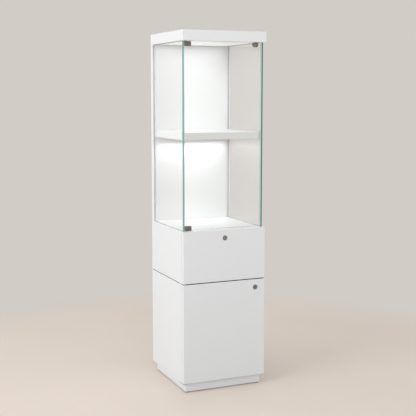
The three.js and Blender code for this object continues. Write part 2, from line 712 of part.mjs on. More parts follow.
// The shelf hides its two support pins, and a light lies in a groove in its underside.
function makeShelf(group, pinZ) {
  const shelfX = glassInnerX - shelfSideGap;
  const shelfY = [frontY + shelfSetback, panelY - glueLine];
  const underside = shelfTop - shelfThickness;
  const lightY = [panelY - shelfLightFromBack - shelfLightWidth, panelY - shelfLightFromBack];
  const bore = alongY(rod(shelfPinRadius + glueLine, -shelfPinInShelf - fitGap, 1));
  const shelf = cut(
    easedBlock([-shelfX, shelfX], shelfY, [underside, shelfTop]),
    block([-shelfLightLength / 2 - glueLine, shelfLightLength / 2 + glueLine],
      [lightY[0] - glueLine, lightY[1] + glueLine], [underside - 1, underside + shelfLightHeight + glueLine]),
    ...[-1, 1].map((sign) => moved(bore, sign * shelfPinSpacing / 2, panelY, pinZ)),
  );
  add(group, "display_shelf", shelf, whiteLacquer);
  const pin = alongY(rod(shelfPinRadius, -shelfPinInShelf, shelfPinInPanel));
  add(group, "shelf_pin_left", pin, zincSteel).position.set(-shelfPinSpacing / 2, panelY, pinZ);
  add(group, "shelf_pin_right", pin, zincSteel).position.set(shelfPinSpacing / 2, panelY, pinZ);
  add(group, "shelf_light", block([-shelfLightLength / 2, shelfLightLength / 2], lightY,
    [underside, underside + shelfLightHeight]), opal);
}

// ---- canopy: z = 0 is its underside ----
function makeCanopy() {
  const group = new THREE.Group();
  const inset = (step) => [
    [-halfWidth + diffuserInset + step, halfWidth - diffuserInset - step],
    [frontY + diffuserInset + step, backY - diffuserInset - step],
  ];
  const mouth = inset(0);
  const middle = inset(canopyLedge);
  const top = inset(2 * canopyLedge);
  const mouthHeight = diffuserThickness + 2 * fitGap;
  const cavityTop = canopyHeight - canopyTopThickness;
  const lockX = glassDoorX - glassLockFromEdge;
  const boltY = glassDoorY - glassLockPlate + glassLockPlugLength + fitGap;
  const grooves = [-1, 1].map((sign) =>
    block(onSide(sign, glassInnerX - glassFitGap, glassOuterX + glassFitGap),
      [sideGlassY - glassFitGap, panelY + channelBite + glassFitGap], [-1, canopyGroove]));
  const shell = cut(
    easedBlock([-halfWidth, halfWidth], [frontY, backY], [0, canopyHeight]),
    block(...mouth, [-1, mouthHeight]),
    block(...middle, [mouthHeight - 1, lightBoardLift]),
    block(...top, [lightBoardLift - 1, cavityTop]),
    ...grooves,
    moved(rod(bushRadius + glueLine, -1, bushLength + fitGap), pivotX, pivotY, 0),
    block([lockX - boltWidth / 2 - boltSlotPlay, lockX + boltWidth / 2 + boltSlotPlay],
      [boltY - boltSlotPlay, boltY + boltThickness + boltSlotPlay], [-1, boltThrow + 2]),
  );
  add(group, "canopy", shell, whiteLacquer);

  const loose = ([from, to]) => [from + fitGap, to - fitGap];
  add(group, "canopy_diffuser", block(loose(mouth[0]), loose(mouth[1]),
    [mouthHeight - fitGap - diffuserThickness, mouthHeight - fitGap]), opal);

  const boardTop = lightBoardLift - fitGap;
  const boardLow = boardTop - lightBoardThickness;
  const spanY = middle[1][1] - middle[1][0];
  const strips = Array.from({ length: lightStripCount }, (_, i) => {
    const y = middle[1][0] + (spanY * (i + 0.5)) / lightStripCount;
    return block([middle[0][0] + 2 * fitGap + 4, middle[0][1] - 2 * fitGap - 4],
      [y - lightStripWidth / 2, y + lightStripWidth / 2], [boardLow - lightStripHeight, boardLow + 0.5]);
  });
  const lightBoard = joined(block(loose(middle[0]), loose(middle[1]), [boardLow, boardTop]), ...strips);
  add(group, "canopy_light_board", lightBoard, circuitWhite);
  add(group, "light_driver", easedBlock([-driverLength / 2, driverLength / 2],
    [-driverWidth / 2, driverWidth / 2], [boardTop + glueLine, boardTop + glueLine + driverHeight],
    driverEase), nylon);
  return group;
}

const displayCase = new THREE.Group();
const stack = [
  [makePlinth(), 0],
  [makeCabinet(), plinthHeight],
  [makeSpacer(), plinthHeight + cabinetHeight],
  [makeDrawerUnit(), plinthHeight + cabinetHeight + shadowGap],
  [makeDisplay(), plinthHeight + cabinetHeight + shadowGap + drawerUnitHeight],
  [makeCanopy(), plinthHeight + cabinetHeight + shadowGap + drawerUnitHeight + displayHeight],
];
for (const [part, z] of stack) {
  part.position.z = z;
  displayCase.add(part);
}

export default displayCase;
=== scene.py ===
import json
import math

import bmesh
import bpy
from mathutils import Matrix, Vector


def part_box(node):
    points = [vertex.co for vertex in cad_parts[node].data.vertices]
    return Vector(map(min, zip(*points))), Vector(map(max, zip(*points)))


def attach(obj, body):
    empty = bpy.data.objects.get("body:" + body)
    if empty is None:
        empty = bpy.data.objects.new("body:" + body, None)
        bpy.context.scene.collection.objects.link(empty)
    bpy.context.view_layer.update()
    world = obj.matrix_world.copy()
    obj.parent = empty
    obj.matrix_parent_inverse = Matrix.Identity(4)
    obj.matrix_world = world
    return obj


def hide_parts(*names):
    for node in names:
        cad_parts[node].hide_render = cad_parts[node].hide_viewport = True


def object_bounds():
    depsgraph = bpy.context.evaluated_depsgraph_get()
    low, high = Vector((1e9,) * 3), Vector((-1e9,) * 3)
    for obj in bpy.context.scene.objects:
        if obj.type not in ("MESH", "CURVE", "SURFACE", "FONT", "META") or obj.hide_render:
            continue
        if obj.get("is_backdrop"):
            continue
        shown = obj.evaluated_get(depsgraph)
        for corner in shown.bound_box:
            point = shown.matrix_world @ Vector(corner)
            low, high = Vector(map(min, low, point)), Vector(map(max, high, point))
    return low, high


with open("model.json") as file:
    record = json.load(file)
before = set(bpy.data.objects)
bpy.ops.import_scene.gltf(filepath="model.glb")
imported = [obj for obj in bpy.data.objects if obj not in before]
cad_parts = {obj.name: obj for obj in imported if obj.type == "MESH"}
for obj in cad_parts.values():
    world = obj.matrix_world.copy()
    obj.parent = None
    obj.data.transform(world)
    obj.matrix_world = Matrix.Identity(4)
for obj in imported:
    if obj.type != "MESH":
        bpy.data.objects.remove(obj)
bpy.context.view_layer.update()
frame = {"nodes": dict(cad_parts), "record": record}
mm = 0.001

record = frame["record"]
bodyOf = {node: body for body, nodes in record["behaviour"]["bodies"].items() for node in nodes}
slotOf = {part["node"]: part["material_slot"] for part in record["subparts"]}


cameraSetup = {
    "azimuth": -23.3,  # degrees to the left of the front
    "elevation": 7.389,
    "distance": 4.6096,  # metres from the point that it looks at
    "aim": (0.0048, 0.0, 0.904),
    "focalPixels": 883.3,
    "photoWidth": 416,
    "sensorWidth": 36,  # millimetres
    "farthest": 100,  # metres
}


def makeCamera(setup):
    data = bpy.data.cameras.new("camera")
    data.sensor_width = setup["sensorWidth"]
    data.lens = setup["focalPixels"] * data.sensor_width / setup["photoWidth"]
    data.clip_end = setup["farthest"]
    camera = bpy.data.objects.new("camera", data)
    bpy.context.scene.collection.objects.link(camera)
    azimuth, elevation = math.radians(setup["azimuth"]), math.radians(setup["elevation"])
    towards = Vector((
        math.sin(azimuth) * math.cos(elevation),
        -math.cos(azimuth) * math.cos(elevation),
        math.sin(elevation),
    ))
    camera.location = Vector(setup["aim"]) + setup["distance"] * towards
    camera.rotation_mode = "QUATERNION"
    camera.rotation_quaternion = (-towards).to_track_quat("-Z", "Y")
    bpy.context.scene.camera = camera


makeCamera(cameraSetup)
print("camera placed")


# a shader socket: adding and multiplying make Math nodes
class Wire:
    def __init__(self, finish, socket):
        self.finish = finish
        self.socket = socket

    def math(self, operation, other):
        return self.finish.node("ShaderNodeMath", {"operation": operation}, {0: self, 1: other})

    def __add__(self, other):
        return self.math("ADD", other)

    def __mul__(self, other):
        return self.math("MULTIPLY", other)

    __radd__ = __add__
    __rmul__ = __mul__


# a material, or the world, whose nodes are made one at a time
class Finish:
    def __init__(self, name, world=None):
        self.material = world or bpy.data.materials.new(name)
        self.material.use_nodes = True
        self.tree = self.material.node_tree
        self.tree.nodes.clear()
        self.out = self.tree.nodes.new("ShaderNodeOutputWorld" if world else "ShaderNodeOutputMaterial")

    # settings come first, then the values or links of the sockets, by name or by number
    def node(self, kind, settings, inputs, output=0):
        made = self.tree.nodes.new(kind)
        for key, value in settings.items():
            setattr(made, key, value)
        for key, value in inputs.items():
            if isinstance(value, Wire):
                self.tree.links.new(value.socket, made.inputs[key])
            else:
                made.inputs[key].default_value = value
        return Wire(self, made.outputs[output])

    def place(self, stretch=(1, 1, 1)):
        points = self.node("ShaderNodeTexCoord", {}, {}, "Object")
        return self.node("ShaderNodeMapping", {}, {"Vector": points, "Scale": stretch})

    def noise(self, where, size, detail=2.0, roughness=0.5):
        return self.node("ShaderNodeTexNoise", {}, {
            "Vector": where, "Scale": 1 / size, "Detail": detail, "Roughness": roughness,
        })

    # a colour Mix has its colours at sockets 6 and 7, and its result at output 2
    def colours(self, factor, *pair):
        first, second = [(*colour, 1) if isinstance(colour, tuple) else colour for colour in pair]
        return self.node("ShaderNodeMix", {"data_type": "RGBA"}, {0: factor, 6: first, 7: second}, 2)

    def bump(self, height, depth):
        return self.node("ShaderNodeBump", {}, {"Height": height, "Distance": depth, "Strength": 1.0})

    def surface(self, inputs):
        shader = self.node("ShaderNodeBsdfPrincipled", {}, inputs)
        return self.end(shader)

    def end(self, shader):
        self.tree.links.new(shader.socket, self.out.inputs["Surface"])
        return self.material


# a wave from 0 to 1 laid evenly round a middle value
def around(wave, middle, width):
    return wave * width + (middle - width / 2)


# two waves in one, with the second one's share
def blended(first, second, share):
    return first * (1 - share) + second * share


lacquer = {
    "pale": (0.868, 0.868, 0.866),
    "deep": (0.842, 0.842, 0.841),
    "roughness": 0.36,
    "roughnessRange": 0.1,
    "coat": 0.12,
    "coatRoughness": 0.2,
    "cloud": 0.35,  # metres across a patch of the faint colour change
    "smear": 0.35 / 6,  # and across one of the change in gloss
    "peel": 0.0016,  # metres across a ripple of the sprayed coat
    "peelDepth": 0.000012,
}


def lacquerFinish(name, look):
    finish = Finish(name)
    where = finish.place()
    cloud = finish.noise(where, look["cloud"], 3)
    smear = finish.noise(where, look["smear"], 4, 0.6)
    peel = finish.noise(where, look["peel"], 1)
    return finish.surface({
        "Base Color": finish.colours(cloud, look["deep"], look["pale"]),
        "Roughness": around(smear, look["roughness"], look["roughnessRange"]),
        "Coat Weight": look["coat"],
        "Coat Roughness": look["coatRoughness"],
        "Normal": finish.bump(peel, look["peelDepth"]),
    })


boardLook = {
    "fibre": 0.0008,  # metres across a fibre
    "fibreStretch": (1, 0.12, 1),
    "fibreDepth": 0.00003,
    "patch": 0.05,
    "patchShare": 0.4,
    "roughnessRange": 0.12,
}
boardColours = {
    # darkBoard is also laid as painted shade on the level faces inside the shadow gap
    "darkBoard": {"pale": (0.030, 0.029, 0.028), "deep": (0.018, 0.0175, 0.017), "roughness": 0.7},
    "drawerBoard": {"pale": (0.76, 0.745, 0.71), "deep": (0.72, 0.70, 0.665), "roughness": 0.5},
    "lightBoard": {"pale": (0.82, 0.82, 0.80), "deep": (0.78, 0.78, 0.76), "roughness": 0.45},
}


def boardFinish(name):
    look, shades = boardLook, boardColours[name]
    finish = Finish(name)
    fibres = finish.noise(finish.place(look["fibreStretch"]), look["fibre"], 4, 0.6)
    patch = finish.noise(finish.place(), look["patch"], 3)
    mixed = blended(fibres, patch, look["patchShare"])
    return finish.surface({
        "Base Color": finish.colours(mixed, shades["deep"], shades["pale"]),
        "Roughness": around(patch, shades["roughness"], look["roughnessRange"]),
        "Normal": finish.bump(fibres, look["fibreDepth"]),
    })


glassLook = {
    "tint": (0.985, 0.995, 0.992),
    "ior": 1.5,
    "smear": 0.09,
    "smearRoughness": 0.02,
    "shadow": (0.95, 0.97, 0.965),
}
glassEdgeLook = {
    # pale is the edge colour with painted light, for edges lit from the left; deep is the same edge with
    # painted shade, for the right pane seen from inside
    "pale": ((0.25, 0.50, 0.475), (0.17, 0.39, 0.37)),
    "deep": ((0.03, 0.29, 0.26), (0.015, 0.19, 0.17)),
    "streak": 0.012,
    "streakStretch": (1, 1, 0.06),
    "grain": 0.0012,
    "grainDepth": 0.00001,
    "roughness": 0.14,
    "roughnessRange": 0.08,
    "coat": 0.6,
    "coatRoughness": 0.05,
}


# lamps shine through the glass almost unchanged, and every other ray sees it as glass
def glassFinish(name, look):
    finish = Finish(name)
    smear = finish.noise(finish.place(), look["smear"], 4, 0.6)
    glass = finish.node("ShaderNodeBsdfPrincipled", {}, {
        "Base Color": finish.colours(smear, look["tint"], (1.0, 1.0, 1.0)),
        "Roughness": smear * look["smearRoughness"],
        "IOR": look["ior"],
        "Transmission Weight": 1.0,
    })
    clear = finish.node("ShaderNodeBsdfTransparent", {}, {"Color": (*look["shadow"], 1)})
    fromLamp = finish.node("ShaderNodeLightPath", {}, {}, "Is Shadow Ray")
    return finish.end(finish.node("ShaderNodeMixShader", {}, {0: fromLamp, 1: glass, 2: clear}))


# a ground glass edge in its painted-light or painted-shade copy, chosen by shade
def glassEdgeFinish(name, shade, look):
    finish = Finish(name)
    streak = finish.noise(finish.place(look["streakStretch"]), look["streak"], 3)
    fine = finish.noise(finish.place(), look["grain"], 2)
    light, dark = look[shade]
    return finish.surface({
        "Base Color": finish.colours(streak, dark, light),
        "Roughness": around(fine, look["roughness"], look["roughnessRange"]),
        "Coat Weight": look["coat"],
        "Coat Roughness": look["coatRoughness"],
        "Normal": finish.bump(fine, look["grainDepth"]),
    })


metal = {
    "satin_nickel": {"pale": (0.29, 0.29, 0.29), "deep": (0.21, 0.21, 0.21), "roughness": 0.28},
    "bronze_nickel": {"pale": (0.28, 0.26, 0.235), "deep": (0.19, 0.175, 0.155), "roughness": 0.3},
    "zinc_steel": {"pale": (0.56, 0.57, 0.59), "deep": (0.46, 0.47, 0.49), "roughness": 0.36},
    "anodised_aluminium": {"pale": (0.94, 0.945, 0.95), "deep": (0.90, 0.905, 0.91), "roughness": 0.5},
    "plugNickel": {"pale": (0.52, 0.47, 0.40), "deep": (0.42, 0.38, 0.32), "roughness": 0.24},
}
brushing = {
    "line": 0.0005,  # metres across a line
    "stretch": (1, 1, 0.04),
    "depth": 0.000015,
    "cloud": 0.012,
    "cloudShare": 0.3,
    "roughnessRange": 0.14,
}


def metalFinish(name):
    look, shades = brushing, metal[name]
    finish = Finish(name)
    lines = finish.noise(finish.place(look["stretch"]), look["line"], 3, 0.6)
    cloud = finish.noise(finish.place(), look["cloud"], 3)
    mixed = blended(lines, cloud, look["cloudShare"])
    return finish.surface({
        "Base Color": finish.colours(mixed, shades["deep"], shades["pale"]),
        "Roughness": around(lines, shades["roughness"], look["roughnessRange"]),
        "Metallic": 1.0,
        "Normal": finish.bump(lines, look["depth"]),
    })


plastic = {
    "blackNylon": {
        "deep": (0.014, 0.014, 0.015), "pale": (0.026, 0.026, 0.027),
        "roughness": 0.52, "roughnessRange": 0.14, "grain": 0.0007, "grainDepth": 0.00004,
    },
    "sealGrey": {
        "deep": (0.10, 0.105, 0.105), "pale": (0.14, 0.145, 0.145),
        "roughness": 0.55, "roughnessRange": 0.1, "grain": 0.0009, "grainDepth": 0.00002,
    },
}


def plasticFinish(name):
    look = plastic[name]
    finish = Finish(name)
    grain = finish.noise(finish.place(), look["grain"], 2)
    return finish.surface({
        "Base Color": finish.colours(grain, look["deep"], look["pale"]),
        "Roughness": around(grain, look["roughness"], look["roughnessRange"]),
        "Normal": finish.bump(grain, look["grainDepth"]),
    })


opal = {
    "pale": (0.9, 0.9, 0.89),
    "deep": (0.86, 0.86, 0.85),
    "glow": ((1.0, 0.995, 0.985), (1.0, 1.0, 1.0)),
    "diffuserGlow": 0.3,
    "shelfGlow": 0.8,
    "bumperGlow": 0.0,
    "cloud": 0.12,
    "grain": 0.0009,
    "grainDepth": 0.00001,
    "roughness": 0.45,
    "roughnessRange": 0.1,
}


def opalFinish(name, glow, look):
    finish = Finish(name)
    cloud = finish.noise(finish.place(), look["cloud"], 2)
    fine = finish.noise(finish.place(), look["grain"], 1)
    return finish.surface({
        "Base Color": finish.colours(cloud, look["deep"], look["pale"]),
        "Roughness": around(fine, look["roughness"], look["roughnessRange"]),
        "Emission Color": finish.colours(cloud, *look["glow"]),
        "Emission Strength": glow,
        "Normal": finish.bump(fine, look["grainDepth"]),
    })


finishes = {
    "white_lacquer": lacquerFinish("whiteLacquer", lacquer),
    "dark_board": boardFinish("darkBoard"),
    "drawer_board": boardFinish("drawerBoard"),
    "black_nylon": plasticFinish("blackNylon"),
    "light_board": boardFinish("lightBoard"),
}
for name in metal:
    finishes[name] = metalFinish(name)
plugNickel = finishes["plugNickel"]  # the warmer key plugs
glassFace = glassFinish("glassFace", glassLook)
# the glass edge with painted light, and the same edge with painted shade
litGlassEdge = glassEdgeFinish("paintedLitGlassEdge", "pale", glassEdgeLook)
shadedGlassEdge = glassEdgeFinish("paintedShadedGlassEdge", "deep", glassEdgeLook)
diffuserOpal = opalFinish("diffuserOpal", opal["diffuserGlow"], opal)
shelfOpal = opalFinish("shelfLightOpal", opal["shelfGlow"], opal)
bumperClear = opalFinish("bumperClear", opal["bumperGlow"], opal)
sealGrey = plasticFinish("sealGrey")
print("finishes made:", len(bpy.data.materials))


meshing = {
    "sharp": math.radians(35),  # an edge that turns more is shaded sharp
    "round": math.radians(30),  # one that turns more than this is rounded
    "flat": math.radians(0.5),  # faces that turn less are merged
    "weld": 2e-6,  # metres between points that are merged
    "square": 0.99,  # the share of a face's normal along an axis that it lies square to
}


# a corner's normal is the mean, by area, of the faces round it that no sharp edge parts from its own,
# so that flat faces stay flat beside their rounded edges
def cornerNormals(bm, sharpAngle):
    bm.normal_update()
    bm.faces.index_update()
    bm.verts.index_update()
    areas = [face.calc_area() for face in bm.faces]
    found = {}
    for vert in bm.verts:
        waiting = list(vert.link_faces)
        while waiting:
            group = []
            stack = [waiting.pop()]
            while stack:
                face = stack.pop()
                group.append(face)
                for edge in face.edges:
                    if vert not in edge.verts or edge.calc_face_angle(math.pi) > sharpAngle:
                        continue
                    for other in edge.link_faces:
                        if other in waiting:
                            waiting.remove(other)
                            stack.append(other)
            total = Vector((0, 0, 0))
            for face in group:
                total += face.normal * areas[face.index]
            for face in group:
                found[face.index, vert.index] = total.normalized() if total.length else face.normal
    return [found[face.index, loop.vert.index] for face in bm.faces for loop in face.loops]


def pieceFrom(bm, name, node, materials, replaced=()):
    bmesh.ops.recalc_face_normals(bm, faces=bm.faces)
    for face in bm.faces:
        face.smooth = True
    normals = cornerNormals(bm, meshing["sharp"])
    mesh = bpy.data.meshes.new(name)
    bm.to_mesh(mesh)
    bm.free()
    for material in materials:
        mesh.materials.append(material)
    mesh.set_sharp_from_angle(angle=meshing["sharp"])
    mesh.normals_split_custom_set(normals)
    piece = bpy.data.objects.new(name, mesh)
    bpy.context.scene.collection.objects.link(piece)
    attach(piece, bodyOf[node])
    if replaced:
        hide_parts(*replaced)


# a node's solid as a clean bmesh: its loose triangles are merged into flat faces
def solidOf(node):
    bm = bmesh.new()
    bm.from_mesh(frame["nodes"][node].data)
    bmesh.ops.remove_doubles(bm, verts=bm.verts, dist=meshing["weld"])
    bmesh.ops.dissolve_limit(bm, angle_limit=meshing["flat"], verts=bm.verts, edges=bm.edges)
    return bm


# rounds the edges that turn, of the whole mesh or of some edges only
def roundEdges(bm, radius, segments=3, edges=None):
    turning = [
        edge for edge in edges or bm.edges
        if edge.is_manifold and edge.calc_face_angle(0) > meshing["round"]
    ]
    bmesh.ops.bevel(
        bm, geom=turning, offset=radius, offset_type="OFFSET", segments=segments, profile=0.5,
        affect="EDGES", clamp_overlap=True, material=-1,
    )
    return bm


# each edge of some points once, in the points' order, so that every run makes the same mesh
def edgesOf(verts):
    return list(dict.fromkeys(edge for vert in verts for edge in vert.link_edges))


def camel(node):
    first, *others = node.split("_")
    return first + "".join(word.capitalize() for word in others)


# metres of rounding, and the boards that have it
boardEdges = {
    1.6 * mm: ["back_panel"],
    0.8 * mm: [
        "cabinet_side_left", "cabinet_side_right", "cabinet_bottom", "cabinet_top", "cabinet_back",
        "case_side_left", "case_side_right", "case_bottom", "case_back", "deck",
        "plinth_frame", "drawer_side_left", "drawer_side_right", "drawer_back", "drawer_bottom",
    ],
    0.3 * mm: ["cabinet_door", "drawer_front", "display_shelf", "canopy", "shadow_gap_spacer"],
}
paintedShadeReach = 1 * mm  # how far the painted shade reaches past the gap's edges
shadowGap = (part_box("cabinet_door")[1].z - paintedShadeReach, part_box("drawer_front")[0].z + paintedShadeReach)


# the level faces that look into the shadow gap get the dark finish of its spacer, as painted shade
def board(node, radius):
    bm = roundEdges(solidOf(node), radius)
    bm.normal_update()
    for face in bm.faces:
        inGap = shadowGap[0] < face.calc_center_median().z < shadowGap[1]
        face.material_index = int(inGap and abs(face.normal.z) > meshing["square"])
    # the second finish is the painted shade on the gap's level faces
    materials = [finishes[slotOf[node]], finishes["dark_board"]]
    pieceFrom(bm, camel(node) + "Board", node, materials, replaced=[node])


for radius, nodes in boardEdges.items():
    for node in nodes:
        board(node, radius)
print("boards made")


# edge finishes: painted light on the left pane and the door, painted shade on the right pane
panes = {
    "side_glass_left": litGlassEdge,
    "side_glass_right": shadedGlassEdge,
    "glass_door": litGlassEdge,
}
paneGrinding = {
    "arris": 0.7 * mm,
    "turned": 0.5,  # the share of an edge face's normal that turns it up, down or to the rear
}


# the two faces, and the ends that stand in a groove, a channel or against a hinge, stay clear
def glassPane(node, edgeMaterial, look):
    bm = roundEdges(solidOf(node), look["arris"], 1)
    low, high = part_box(node)
    thin = min(range(3), key=lambda axis: high[axis] - low[axis])
    bm.normal_update()
    for face in bm.faces:
        broad = abs(face.normal[thin]) > meshing["square"]
        hidden = abs(face.normal.z) > look["turned"] or face.normal.y > look["turned"]
        face.material_index = 0 if broad or hidden else 1
    pieceFrom(bm, camel(node) + "Pane", node, [glassFace, edgeMaterial], replaced=[node])


for node, edgeMaterial in panes.items():
    glassPane(node, edgeMaterial, paneGrinding)
print("panes made")


# metres of rounding, and the metal and plastic pieces that keep their solids' shape
hardware = {
    0.25 * mm: [
        "door_pivot_lower", "door_pivot_upper", "door_lock_cam", "drawer_lock_cam", "door_lock_strike",
        "glass_lock_bolt", "shelf_pin_left", "shelf_pin_right",
        "glide_front_left", "glide_front_right", "glide_back_left", "glide_back_right",
    ],
    0.6 * mm: ["glass_hinge_lower", "glass_hinge_upper", "glass_lock_case"],
    0.2 * mm: [
        "runner_left_fixed", "runner_left_middle", "runner_left_drawer",
        "runner_right_fixed", "runner_right_middle", "runner_right_drawer",
        "glass_channel_left", "glass_channel_right",
        "door_bush_lower", "door_bush_upper", "glass_bush_lower", "glass_bush_upper",
        "canopy_light_board", "light_driver",
    ],
}


def softened(node, radius):
    bm = roundEdges(solidOf(node), radius)
    pieceFrom(bm, camel(node) + "Piece", node, [finishes[slotOf[node]]], replaced=[node])


for radius, nodes in hardware.items():
    for node in nodes:
        softened(node, radius)
print("hardware made")


# turned pieces are rings of points round an axis; a ring's radius is a number, or a function of the
# angle for a hexagon, a slot or a cross
nearlyZero = 1e-6


def hexagon(acrossFlats):
    return lambda angle: acrossFlats / 2 / math.cos(angle % (math.pi / 3) - math.pi / 6)


def slotted(halfLength, halfWidth):
    def radius(angle):
        return min(
            halfLength / max(abs(math.sin(angle)), nearlyZero),
            halfWidth / max(abs(math.cos(angle)), nearlyZero),
        )
    return radius


def crossed(arm, halfWidth):
    def radius(angle):
        fromArm = abs((angle + math.pi / 4) % (math.pi / 2) - math.pi / 4)
        return min(arm / math.cos(fromArm), halfWidth / max(math.sin(fromArm), nearlyZero))
    return radius


# rings are (radius, distance along the axis) pairs, each bridged to the one before it; a hollow piece
# joins its last ring to its first, and any other is closed at both ends
def addTurned(bm, centre, axis, rings, segments=48, hollow=False):
    turn = Vector(axis).to_track_quat("Z", "Y").to_matrix().to_4x4()
    place = Matrix.Translation(centre) @ turn
    loops = []
    for radius, along in rings:
        verts = bmesh.ops.create_circle(bm, segments=segments, radius=1)["verts"]
        for vert in verts:
            angle = math.atan2(vert.co.y, vert.co.x)
            reach = radius(angle) if callable(radius) else radius
            vert.co = Vector((vert.co.x * reach, vert.co.y * reach, along))
        bmesh.ops.transform(bm, matrix=place, verts=verts)
        loops.append(edgesOf(verts))
    if hollow:
        loops.append(loops[0])
    for first, second in zip(loops, loops[1:]):
        bmesh.ops.bridge_loops(bm, edges=first + second)
    if not hollow:
        bmesh.ops.holes_fill(bm, edges=loops[0] + loops[-1], sides=segments)


# all but the segments are shares of the head's radius
screwHead = {
    "rings": [(0.7, -0.25), (1, 0), (0.94, 0.07), (0.7, 0.12)],
    "recessTop": 0.12,
    "recessFloor": -0.2,
    "cross": (0.62, 0.15),
    "segments": 24,
}


# the head of a countersunk screw, a little proud of the surface that it sits in
def addScrew(bm, centre, outward, radius, drive="cross"):
    arm, halfWidth = screwHead["cross"]
    recess = crossed(arm * radius, halfWidth * radius) if drive == "cross" else hexagon(radius)
    rings = [(share * radius, along * radius) for share, along in screwHead["rings"]]
    rings += [(recess, screwHead["recessTop"] * radius), (recess, screwHead["recessFloor"] * radius)]
    addTurned(bm, centre, outward, rings, screwHead["segments"])


def screwSet(name, node, slot, places, outward, radius, drive="cross"):
    bm = bmesh.new()
    for place in places:
        addScrew(bm, place, outward, radius, drive)
    pieceFrom(bm, name, node, [finishes[slot]])


camLock = {
    "flangeRadius": 12.5 * mm,
    "flange": 2.5 * mm,
    "flangeEdge": 1.0 * mm,
    "flangeEase": (0.25 * mm, 0.4 * mm),
    "rimWidth": 1.6 * mm,
    "rimStep": (0.5 * mm, 0.1 * mm),
    "rimCrown": 0.35 * mm,
    "dish": 1.3 * mm,
    "dishLip": (0.5 * mm, 0.25 * mm),
    "boreRadius": 6.2 * mm,
    "barrelRadius": 9.0 * mm,
    "barrelLength": 28 * mm,
    "overlap": 0.2 * mm,  # how far its pieces reach into what they lie on
    "threadPitch": 1.0 * mm,
    "threadDepth": 0.45 * mm,
    "nutFlats": 22.5 * mm,
    "nutCorner": 1.03,
    "nutEdge": 0.6 * mm,
    "nut": (20.2 * mm, 24.2 * mm),
    "plugRadius": 6.0 * mm,
    "plugEdge": 0.6 * mm,
    "plugRecess": 0.5 * mm,
    "keySlot": (3.6 * mm, 0.8 * mm),
    "keyDepth": 5 * mm,
    "tailRadius": 4 * mm,
    "camBack": 30.8 * mm,
    "screwRadius": 5.5 * mm,
    "screwHead": 2.0 * mm,
    "screwShoulder": 0.5,  # shares of the head
    "screwRecess": 0.3,
    "screwCrown": 0.75,
    "screwCross": (3.2 * mm, 0.8 * mm),
}


# distances along y are measured from the face of the front, which the flange lies on
def lockHousing(bm, centre, along, look):
    flange, barrel, bore = look["flangeRadius"], look["barrelRadius"], look["boreRadius"]
    pitch, root, length = look["threadPitch"], barrel - look["threadDepth"], look["barrelLength"]
    rim = flange - look["rimWidth"]
    top, dish = -look["flange"], look["dish"] - look["flange"]
    lipX, lipY = look["dishLip"]
    stepX, stepY = look["rimStep"]
    easeX, easeY = look["flangeEase"]
    rings = [
        (bore, length), (bore, dish), (bore + lipX, dish - lipY), (rim - stepX, top + stepY), (rim, top),
        (flange - look["rimWidth"] / 2, top + look["rimCrown"]),
        (flange - easeX, -look["flangeEdge"] - easeY), (flange, -look["flangeEdge"]),
        (flange, -look["overlap"]), (barrel, -look["overlap"]),
    ]
    for turn in range(1, int(length / pitch)):
        rings += [(barrel, turn * pitch), (root, turn * pitch + pitch / 2)]
    rings.append((root, length))
    addTurned(bm, centre, along, rings, hollow=True)


def lockNut(bm, centre, along, look):
    near, far = look["nut"]
    edge, barrel = look["nutEdge"], look["barrelRadius"]
    hexes = hexagon(look["nutFlats"])
    corner = look["nutFlats"] / 2 * look["nutCorner"]

    def eased(angle):
        return min(hexes(angle), corner)

    addTurned(bm, centre, along, [
        (barrel, near), (eased, near), (hexes, near + edge),
        (hexes, far - edge), (eased, far), (barrel, far),
    ], hollow=True)


def lockPlug(bm, centre, along, face, look):
    slot = slotted(*look["keySlot"])
    radius, edge, tail = look["plugRadius"], look["plugEdge"], look["tailRadius"]
    addTurned(bm, centre, along, [
        (slot, face + look["keyDepth"]), (slot, face), (radius - edge, face), (radius, face + edge),
        (radius, look["barrelLength"]), (tail, look["barrelLength"]),
        (tail, look["camBack"] + look["overlap"]),
    ])


def lockCamScrew(bm, centre, along, look):
    radius, head = look["screwRadius"], look["screwHead"]
    start = look["camBack"] + look["overlap"]
    recess = crossed(*look["screwCross"])
    addTurned(bm, centre, along, [
        (radius, start), (radius, start + look["screwShoulder"] * head),
        (look["screwCrown"] * radius, start + head), (recess, start + head),
        (recess, start + look["screwRecess"] * head),
    ])


def makeCamLock(prefix, plugFinish, look):
    housing, plug = prefix + "_lock_housing", prefix + "_lock_plug"
    low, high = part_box(plug)
    face = -look["flange"] + look["plugRecess"]
    centre = Vector(((low.x + high.x) / 2, low.y - face, (low.z + high.z) / 2))
    along = (0, 1, 0)
    bm = bmesh.new()
    lockHousing(bm, centre, along, look)
    pieceFrom(bm, prefix + "LockHousing", housing, [finishes["satin_nickel"]], replaced=[housing])
    bm = bmesh.new()
    lockNut(bm, centre, along, look)
    pieceFrom(bm, prefix + "LockNut", housing, [finishes["zinc_steel"]])
    bm = bmesh.new()
    lockPlug(bm, centre, along, face, look)
    pieceFrom(bm, prefix + "LockPlug", plug, [plugFinish], replaced=[plug])
    bm = bmesh.new()
    lockCamScrew(bm, centre, along, look)
    pieceFrom(bm, prefix + "LockCamScrew", plug, [finishes["zinc_steel"]])


makeCamLock("door", finishes["satin_nickel"], camLock)
makeCamLock("drawer", plugNickel, camLock)
print("cam locks made")


glassLock = {
    "plugRadius": 5 * mm,
    "plugEdge": 0.5 * mm,
    "proud": 0.8 * mm,
    "plugLength": 5 * mm,
    "keySlot": (2.9 * mm, 0.75 * mm),
    "keyDepth": 4 * mm,
    "strikeSize": (34 * mm, 14 * mm),
    "strike": 0.8 * mm,
    "strikeEdge": 0.25 * mm,
    "strikeSlotPlay": 0.9 * mm,
    "strikeScrew": 1.9 * mm,
    "strikeScrewPlace": 0.36,  # share of the plate's length from its middle
}


